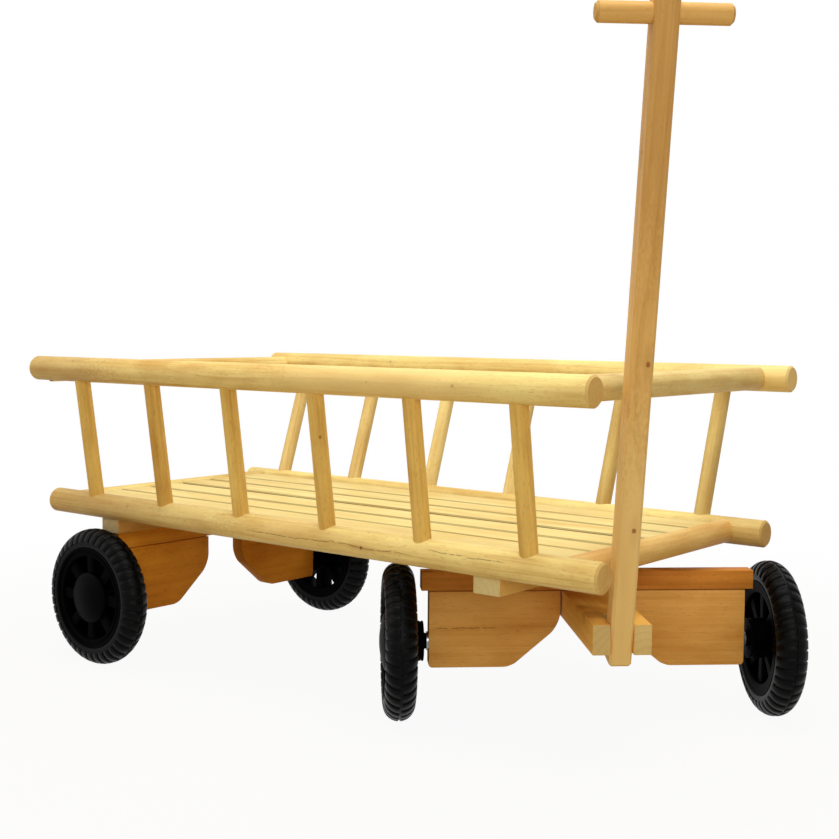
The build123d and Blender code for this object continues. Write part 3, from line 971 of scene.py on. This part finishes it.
def moulded_spoke():
    """One spoke, upright above the hub."""
    spoke = bmesh.new()
    made = bmesh.ops.create_cube(spoke, size=1.0)
    bmesh.ops.scale(spoke, vec=tuple(length * MM for length in SPOKE_SIZE), verts=made["verts"])
    bmesh.ops.translate(spoke, vec=(0, SPOKE_SHIFT * MM, SPOKE_MIDDLE * MM), verts=made["verts"])
    inner_end = [v for v in spoke.verts if v.co.z < SPOKE_MIDDLE * MM]
    bmesh.ops.scale(spoke, vec=SPOKE_TAPER, verts=inner_end)
    half_length = SPOKE_SIZE[2] / 2 * MM
    long_edges = [e for e in spoke.edges if abs(e.verts[0].co.z - e.verts[1].co.z) > half_length]
    bevel_edges(spoke, long_edges, SPOKE_BEVEL * MM, 4)
    return spoke


def make_wheel_centre(corner):
    """The moulded centre of one wheel."""
    work = bmesh.new()
    spun_ring(work, rim_outline, BIG_RING_STEPS)
    spun_ring(work, hub_outline, HUB_STEPS)
    copy_round(work, moulded_spoke(), SPOKES)
    body, place = bodies_of_nodes[corner + "_wheel"], wheel_places[corner]
    piece = finish_piece(corner + "_moulded_centre", work, wheel_plastic, body, place)
    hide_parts(corner + "_wheel")
    return piece


for corner in wheel_places:
    piece = make_wheel_centre(corner)
print("wheel centre faces", len(piece.data.polygons))

# %% [markdown]
# ## Hub caps
#
# A round cap hides the end of each axle. Its face is nearly flat in the middle and falls off faster
# near the edge, which is what draws the pale crescent on it in the photograph. The outline starts and
# ends on the axis, so the points that the spin leaves there are merged into one.

# %% Build the hub caps
CAP_SHARP_ANGLE = 50.0
MERGE_DISTANCE = 0.00001
cap_outline = [
    (0.0, 24.4), (8.0, 24.1), (15.0, 23.3), (21.0, 22.2), (26.0, 21.0), (30.0, 19.9), (33.5, 18.8),
    (35.8, 17.8), (36.9, 16.9), (37.0, 16.4), (36.4, 16.1), (0.0, 16.1),
]
for corner, place in wheel_places.items():
    work = bmesh.new()
    spun_ring(work, cap_outline, BIG_RING_STEPS, closed=False)
    bmesh.ops.remove_doubles(work, verts=work.verts, dist=MERGE_DISTANCE)
    body = bodies_of_nodes[corner + "_cap"]
    piece = finish_piece(corner + "_domed_cap", work, cap_plastic, body, place, CAP_SHARP_ANGLE)
    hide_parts(corner + "_cap")
print("cap faces", len(piece.data.polygons))

# %% [markdown]
# ## Sawn and eased timber
#
# The beams, boards and bars have edges that were sanded by hand. Where two such pieces meet, the
# two eased edges make a thin dark line, which the photograph shows between the beams and the boards.
# A block with bevelled edges gives that line without painting it.

# %% Build the beams and the cross bars
EASE = 1.1 * MM
EASE_SEGMENTS = 2
BOARD_TOP, BOARD_BOTTOM, BEAM_TOP = 166.0, 67.5, 191.5
BEAM_HALF_WIDTH, BEAM_HALF_LENGTH = 12, 214
# how far a beam and a board each end from where they meet, and a beam from the bar above it
BOARD_SEAM, BAR_SEAM = 0.6, 0.7
# from the front unit's own space, ahead along X with the kingpin at the origin, to the wagon's
PIVOT = Vector(joints["steering"]["pos_m"])
UNIT = axes_matrix((PIVOT.x, PIVOT.y, 0), (UNIT_AHEAD, UNIT_ACROSS, UP))
REAR = Matrix.Translation((joints["rear_left_wheel_spin"]["pos_m"][0], PIVOT.y, 0))
eased_pieces = []


def eased_box(low, high):
    """A block between two corners, its edges bevelled."""
    work = bmesh.new()
    made = bmesh.ops.create_cube(work, size=1.0)
    low, high = Vector(low), Vector(high)
    bmesh.ops.scale(work, vec=high - low, verts=made["verts"])
    bmesh.ops.translate(work, vec=(low + high) / 2, verts=made["verts"])
    bevel_edges(work, work.edges, EASE, EASE_SEGMENTS)
    return work


def replace_timber(node, work, place=None):
    """Lets an eased block stand for a CAD node, in that node's own wood."""
    material = nodes[node].material_slots[0].material
    piece = finish_piece(node + "_eased", work, material, bodies_of_nodes[node], place)
    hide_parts(node)
    eased_pieces.append(piece)


beam_low = (-BEAM_HALF_WIDTH * MM, -BEAM_HALF_LENGTH * MM, (BOARD_TOP + BOARD_SEAM) * MM)
beam_high = (BEAM_HALF_WIDTH * MM, BEAM_HALF_LENGTH * MM, (BEAM_TOP - BAR_SEAM) * MM)
for node, place in (("front_beam", UNIT), ("rear_beam", REAR)):
    replace_timber(node, eased_box(beam_low, beam_high), place)
for node in ("front_cross_bar", "rear_cross_bar"):
    replace_timber(node, eased_box(*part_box(node)))
print("beams and bars", len(eased_pieces))

# %% [markdown]
# A board is a flat outline, with its corners rounded while it is still flat, that is pushed out to its
# thickness. The fork is made the same way, from the outline of a bar with a slot at its front end.

# %% Build the boards and the fork
BOARD_THICKNESS = 22
BOARD_INNER, BOARD_OUTER = 35.6, 204.0
ROUNDING_SEGMENTS = 8
# edges round a flat side turn by more than this
RIM_ANGLE = math.radians(50)
# corner, rounding, both in millimetres, for a board on the left side
board_corners = [
    ((BOARD_INNER, BOARD_TOP - BOARD_SEAM), 0.0),
    ((BOARD_INNER, BOARD_TOP - 45.0), 38.0),
    ((99.0, BOARD_BOTTOM), 27.0),
    ((BOARD_OUTER, BOARD_BOTTOM), 5.0),
    ((BOARD_OUTER, BOARD_TOP - BOARD_SEAM), 0.0),
]
FORK_TOP, FORK_BOTTOM = 166.0, 131.0
FORK_TAIL, FORK_FRONT, FORK_SIDE = -46, 206, 34
SLOT_END, SLOT_SIDE = 149, 13.5
fork_half = [
    (FORK_TAIL, FORK_SIDE), (FORK_FRONT, FORK_SIDE), (FORK_FRONT, SLOT_SIDE), (SLOT_END, SLOT_SIDE),
]
fork_corners = [(x, -y) for x, y in fork_half] + fork_half[::-1]


def axle_board(hand):
    """A board on the left side for a hand of 1, or on the right for -1."""
    work = bmesh.new()
    back = -BOARD_THICKNESS / 2 * MM
    corners = [work.verts.new((back, hand * side * MM, height * MM)) for (side, height), _ in board_corners]
    work.faces.new(corners)
    for corner, (_, rounding) in zip(corners, board_corners):
        if rounding:
            a, b = (e.other_vert(corner).co - corner.co for e in corner.link_edges)
            bmesh.ops.bevel(
                work, geom=[corner], offset=rounding * MM * math.tan((math.pi - a.angle(b)) / 2),
                segments=ROUNDING_SEGMENTS, affect="VERTICES", profile=0.5, material=-1,
            )
    push_out(work, work.faces[:], (BOARD_THICKNESS * MM, 0, 0))
    rim = [e for e in work.edges if e.calc_face_angle(0) > RIM_ANGLE]
    bevel_edges(work, rim, EASE, EASE_SEGMENTS)
    return work


for corner in wheel_places:
    hand = 1 if corner.endswith("left") else -1
    replace_timber(corner + "_board", axle_board(hand), UNIT if corner.startswith("front") else REAR)

work = bmesh.new()
fork_face = work.faces.new([work.verts.new((x * MM, y * MM, FORK_BOTTOM * MM)) for x, y in fork_corners])
push_out(work, [fork_face], (0, 0, (FORK_TOP - FORK_BOTTOM) * MM))
bevel_edges(work, work.edges, EASE, EASE_SEGMENTS)
replace_timber("fork", work, UNIT)
print("eased pieces", len(eased_pieces))

# %% [markdown]
# ## Kingpin
#
# The front unit turns on a bolt with a flat round head sunk in the cross bar. Under the fork it ends
# in a plated washer and a six-sided nut, which only show from below.

# %% Build the kingpin
BOLT_BEVEL = 0.0006
low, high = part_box("kingpin")
axis = middle_of("kingpin")
# corners round the axis, radius, bottom and top in metres: the shank, the head, the nut and its washer
kingpin_parts = [
    (32, 0.0060, low.z + 0.0005, high.z - 0.001),
    (48, 0.0140, high.z - 0.005, high.z),
    (6, 0.0110, low.z + 0.0005, low.z + 0.0075),
    (40, 0.0108, low.z + 0.0075, low.z + 0.009),
]
work = bmesh.new()
for corners, radius, bottom, top in kingpin_parts:
    made = bmesh.ops.create_cone(
        work, cap_ends=True, segments=corners, radius1=radius, radius2=radius, depth=top - bottom,
        matrix=Matrix.Translation((axis.x, axis.y, (bottom + top) / 2)),
    )
    rim = {e for v in made["verts"] for e in v.link_edges if e.calc_face_angle(0) > RIM_ANGLE}
    bevel_edges(work, rim, BOLT_BEVEL, EASE_SEGMENTS)
piece = finish_piece("kingpin_bolt", work, plated_steel, bodies_of_nodes["kingpin"])
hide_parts("kingpin")
print("kingpin faces", len(piece.data.polygons))
